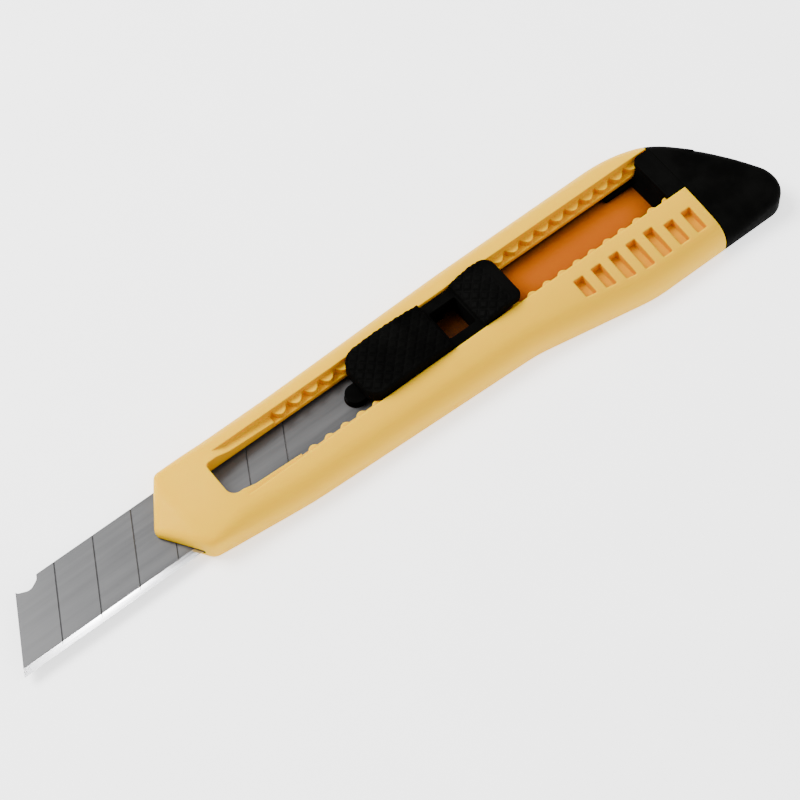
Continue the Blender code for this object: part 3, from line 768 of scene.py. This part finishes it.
class Nodes:
    """Short ways to add and join shader nodes."""

    def __init__(self, name):
        self.material = bpy.data.materials.new(name)
        self.material.use_nodes = True
        self.tree = self.material.node_tree
        self.shader = self.tree.nodes["Principled BSDF"]
        self.place = self.add("ShaderNodeTexCoord").outputs["Object"]

    def add(self, kind, **values):
        node = self.tree.nodes.new(kind)
        for key, value in values.items():
            setattr(node, key, value)
        return node

    def set(self, socket, value):
        if isinstance(value, bpy.types.NodeSocket):
            self.tree.links.new(value, socket)
        else:
            socket.default_value = value

    def noise(self, scale, detail=4.0, rough=0.55, place=None):
        node = self.add("ShaderNodeTexNoise")
        self.set(node.inputs["Vector"], place or self.place)
        node.inputs["Scale"].default_value = scale
        node.inputs["Detail"].default_value = detail
        node.inputs["Roughness"].default_value = rough
        return node.outputs["Fac"]

    def stretch(self, factors):
        node = self.add("ShaderNodeMapping")
        self.set(node.inputs["Vector"], self.place)
        node.inputs["Scale"].default_value = factors
        return node.outputs["Vector"]

    def span(self, value, low, high, to_low=0.0, to_high=1.0):
        node = self.add("ShaderNodeMapRange", interpolation_type="SMOOTHSTEP")
        self.set(node.inputs["Value"], value)
        for key, number in (("From Min", low), ("From Max", high)):
            node.inputs[key].default_value = number
        for key, number in (("To Min", to_low), ("To Max", to_high)):
            node.inputs[key].default_value = number
        return node.outputs["Result"]

    def math(self, operation, a, b=0.0):
        node = self.add("ShaderNodeMath", operation=operation)
        self.set(node.inputs[0], a)
        self.set(node.inputs[1], b)
        return node.outputs[0]

    def mix(self, share, a, b):
        node = self.add("ShaderNodeMix", data_type="RGBA")
        for socket, value in zip((node.inputs[0], node.inputs[6], node.inputs[7]), (share, a, b)):
            self.set(socket, value)
        return node.outputs[2]

    def bump(self, height, strength, distance, normal=None):
        node = self.add("ShaderNodeBump")
        self.set(node.inputs["Height"], height)
        node.inputs["Strength"].default_value = strength
        node.inputs["Distance"].default_value = distance
        if normal is not None:
            self.set(node.inputs["Normal"], normal)
        return node.outputs["Normal"]

    def dim(self, colour, factor):
        """The colour times a factor."""
        return self.mix(factor, (0.0, 0.0, 0.0, 1), colour)

    def open_share(self, distance, only_local):
        """How open the surface is, from 0 in a deep hollow to 1."""
        node = self.add("ShaderNodeAmbientOcclusion", samples=12, only_local=only_local)
        node.inputs["Distance"].default_value = distance
        return node.outputs["AO"]

    def soft_edges(self, radius):
        node = self.add("ShaderNodeBevel", samples=8)
        node.inputs["Radius"].default_value = radius
        return node.outputs["Normal"]

    def axis(self, name):
        node = self.add("ShaderNodeSeparateXYZ")
        self.set(node.inputs[0], self.place)
        return node.outputs[name]

    def out(self, **values):
        for key, value in values.items():
            self.set(self.shader.inputs[key.replace("_", " ")], value)
        return self.material


def yellow_plastic():
    """Slightly translucent yellow, with painted shade: a warmer orange in its hollows, and a dark
    deep orange low in the channel.
    """
    n = Nodes("yellow_plastic")
    # pale is the plastic's own colour; warm and deep are painted shade, for the hollows and for
    # the channel floor.
    pale = (0.72, 0.40, 0.0006, 1)
    warm = (0.68, 0.26, 0.0006, 1)
    deep = (0.33, 0.075, 0.0004, 1)
    # Painted shade and bounced light: warm orange is mixed in where ambient occlusion finds the
    # surface closed in, as in the pockets and between the rack teeth.
    inside = n.open_share(14.0 * MM, only_local=True)
    hollow_shade = n.span(inside, 0.20, 0.85, 0.95, 0.0)
    # The painted hollow shade is weaker on the plain land ahead of the racks, so it stays nearly
    # as pale as the outside.
    hollow_shade = n.math("MULTIPLY", hollow_shade, n.span(n.axis("X"), -28.0 * MM, -24.0 * MM, 0.3, 1.0))
    # Painted shade: low in the channel the colour turns a dark deep orange, where the floor lies
    # in shadow.
    low = n.span(n.axis("Z"), 2.3 * MM, 5.0 * MM, 1.0, 0.0)
    low = n.math("MULTIPLY", low, n.span(inside, 0.90, 0.99, 1.0, 0.0))
    base = n.mix(low, n.mix(hollow_shade, pale, warm), deep)
    cloud = n.noise(60, 3)
    tint = n.mix(n.span(cloud, 0.3, 0.7, 0.0, 0.25), base, n.dim(base, 0.9))
    # Painted shade: darker again where other parts close the channel in, as under the slider.
    shade = n.span(n.open_share(9.0 * MM, only_local=False), 0.25, 0.75, 0.95, 0.0)
    shade = n.math("SUBTRACT", 1.0, n.math("MULTIPLY", low, shade))
    tint = n.dim(tint, shade)
    grain = n.noise(5200, 2)
    rough = n.span(n.noise(900, 5), 0.35, 0.65, 0.36, 0.50)
    scuff = n.noise(500, 6, 0.7, n.stretch((0.15, 1.0, 1.0)))
    # A very low crown across the flat faces, so that light falls off towards both sides.
    middle_y = MIDLINE_Y + TO_FRAME.translation.y
    off_middle = n.math("SUBTRACT", n.axis("Y"), middle_y)
    crown = n.math("MULTIPLY", n.math("MULTIPLY", off_middle, off_middle), -12.0)
    normal = n.soft_edges(0.5 * MM)
    normal = n.bump(crown, 1.0, 1.0, normal)
    normal = n.bump(grain, 0.12, 0.05 * MM, normal)
    normal = n.bump(scuff, 0.05, 0.1 * MM, normal)
    return n.out(
        Base_Color=tint,
        Roughness=rough,
        Normal=normal,
        Specular_IOR_Level=0.05,
        Subsurface_Weight=0.35,
        Subsurface_Radius=(2.2, 1.0, 0.25),
        Subsurface_Scale=1.0 * MM,
    )


def black_plastic():
    """Fine-grained black plastic with hardly any gloss."""
    n = Nodes("black_plastic")
    cloud = n.noise(140, 5)
    dark, light = (0.0012, 0.0012, 0.0011, 1), (0.0024, 0.0024, 0.0022, 1)
    base = n.mix(n.span(cloud, 0.3, 0.7), dark, light)
    rough = n.span(n.noise(1100, 5), 0.3, 0.7, 0.38, 0.56)
    normal = n.soft_edges(0.2 * MM)
    normal = n.bump(n.noise(4200, 3), 0.25, 0.05 * MM, normal)
    return n.out(Base_Color=base, Roughness=rough, Normal=normal, Specular_IOR_Level=0.004)


def blade_steel():
    """Rolled steel with streaks along the blade, and a smoother strip where it is ground."""
    n = Nodes("blade_steel")
    streaks = n.noise(420, 6, 0.65, n.stretch((0.04, 1.0, 1.0)))
    cloud = n.noise(45, 3)
    dark, light = (0.074, 0.074, 0.075, 1), (0.092, 0.092, 0.093, 1)
    face = n.mix(n.span(streaks, 0.3, 0.7), dark, light)
    face = n.mix(n.span(cloud, 0.35, 0.65, 0.0, 0.3), face, (0.068, 0.069, 0.071, 1))
    ground_y = GROUND_WIDTH + TO_FRAME.translation.y
    ground = n.span(n.axis("Y"), ground_y - 0.15 * MM, ground_y - 0.05 * MM, 1.0, 0.0)
    face = n.mix(ground, face, (0.42, 0.42, 0.43, 1))
    rough = n.span(streaks, 0.25, 0.75, 0.34, 0.50)
    rough = n.math("SUBTRACT", rough, n.math("MULTIPLY", ground, 0.30))
    normal = n.bump(streaks, 0.10, 0.03 * MM)
    return n.out(Base_Color=face, Metallic=0.9, Roughness=rough, Normal=normal)


def floor_paper():
    n = Nodes("floor_paper")
    tone = n.mix(n.span(n.noise(30, 4), 0.3, 0.7), (0.86, 0.86, 0.86, 1), (0.88, 0.88, 0.88, 1))
    normal = n.bump(n.noise(900, 4), 0.03, 0.1 * MM)
    return n.out(
        Base_Color=tone, Roughness=0.9, Normal=normal, Emission_Color=tone, Emission_Strength=1.6
    )


# ---------------------------------------------------------------- studio


def make_floor(material):
    bpy.ops.mesh.primitive_plane_add(size=6.0, location=(0, 0, -0.1 * MM))
    floor = bpy.context.object
    floor.name = "floor"
    floor.data.materials.append(material)


def area_light(name, place, target, size, power):
    light = bpy.data.lights.new(name, "AREA")
    light.shape = "RECTANGLE"
    light.size, light.size_y = size
    light.energy = power
    lamp = bpy.data.objects.new(name, light)
    lamp.location = place
    lamp.rotation_euler = (Vector(target) - Vector(place)).to_track_quat("-Z", "Y").to_euler()
    bpy.context.scene.collection.objects.link(lamp)


def make_world():
    world = bpy.data.worlds.new("studio")
    world.use_nodes = True
    sky = world.node_tree.nodes["Background"]
    sky.inputs["Color"].default_value = (1.0, 1.0, 1.0, 1)
    sky.inputs["Strength"].default_value = 0.85
    bpy.context.scene.world = world


def make_camera():
    camera = bpy.data.cameras.new("camera")
    camera.lens = 121.14
    camera.sensor_width = 36.0
    holder = bpy.data.objects.new("camera", camera)
    right = Vector((0.7881, -0.6146, -0.0332)).normalized()
    back = Vector((-0.2675, -0.3905, 0.8809)).normalized()
    up = back.cross(right).normalized()
    turn = Matrix((right, up, back)).transposed().to_4x4()
    holder.matrix_world = Matrix.Translation((-0.15684, -0.23153, 0.52135)) @ turn
    bpy.context.scene.collection.objects.link(holder)
    bpy.context.scene.camera = holder


def main():
    yellow, black, steel = yellow_plastic(), black_plastic(), blade_steel()
    blank = make_blank()
    finish_piece(make_handle(blank), "handle", ["handle"], yellow)
    finish_piece(make_blade(), "carriage", ["blade"], steel, 5)
    finish_piece(make_slider_body(), "carriage", ["slider"], black)
    finish_piece(make_nub(), "carriage", [], black)
    front = make_pad(
        "front_pad",
        FRONT_PAD_X,
        (4.0 * MM, 0.3 * MM),
        front_crown,
        DECK_Z,
        117.0 * MM,
    )
    rear = make_pad(
        "rear_pad",
        REAR_PAD_X,
        (0.3 * MM, 2.5 * MM),
        rear_crown,
        REAR_PAD_FOOT_Z,
        133.2 * MM,
    )
    finish_piece(front, "carriage", [], black, 60)
    finish_piece(rear, "carriage", [], black, 60)
    finish_piece(make_cap(blank), "end_cap", ["end_cap"], black)
    bpy.data.objects.remove(blank)
    make_floor(floor_paper())
    make_world()
    area_light("key", (-0.35, 0.45, 0.75), (0, 0, 0), (0.5, 0.5), 21.0)
    area_light("fill", (0.5, -0.5, 0.6), (0, 0, 0), (0.8, 0.8), 5.0)
    # A small lamp where the ground strip mirrors it towards the camera.
    area_light("edge_glint", (0.013, 0.108, 0.69), (-0.081, -0.003, 0), (0.045, 0.05), 0.3)
    make_camera()


main()
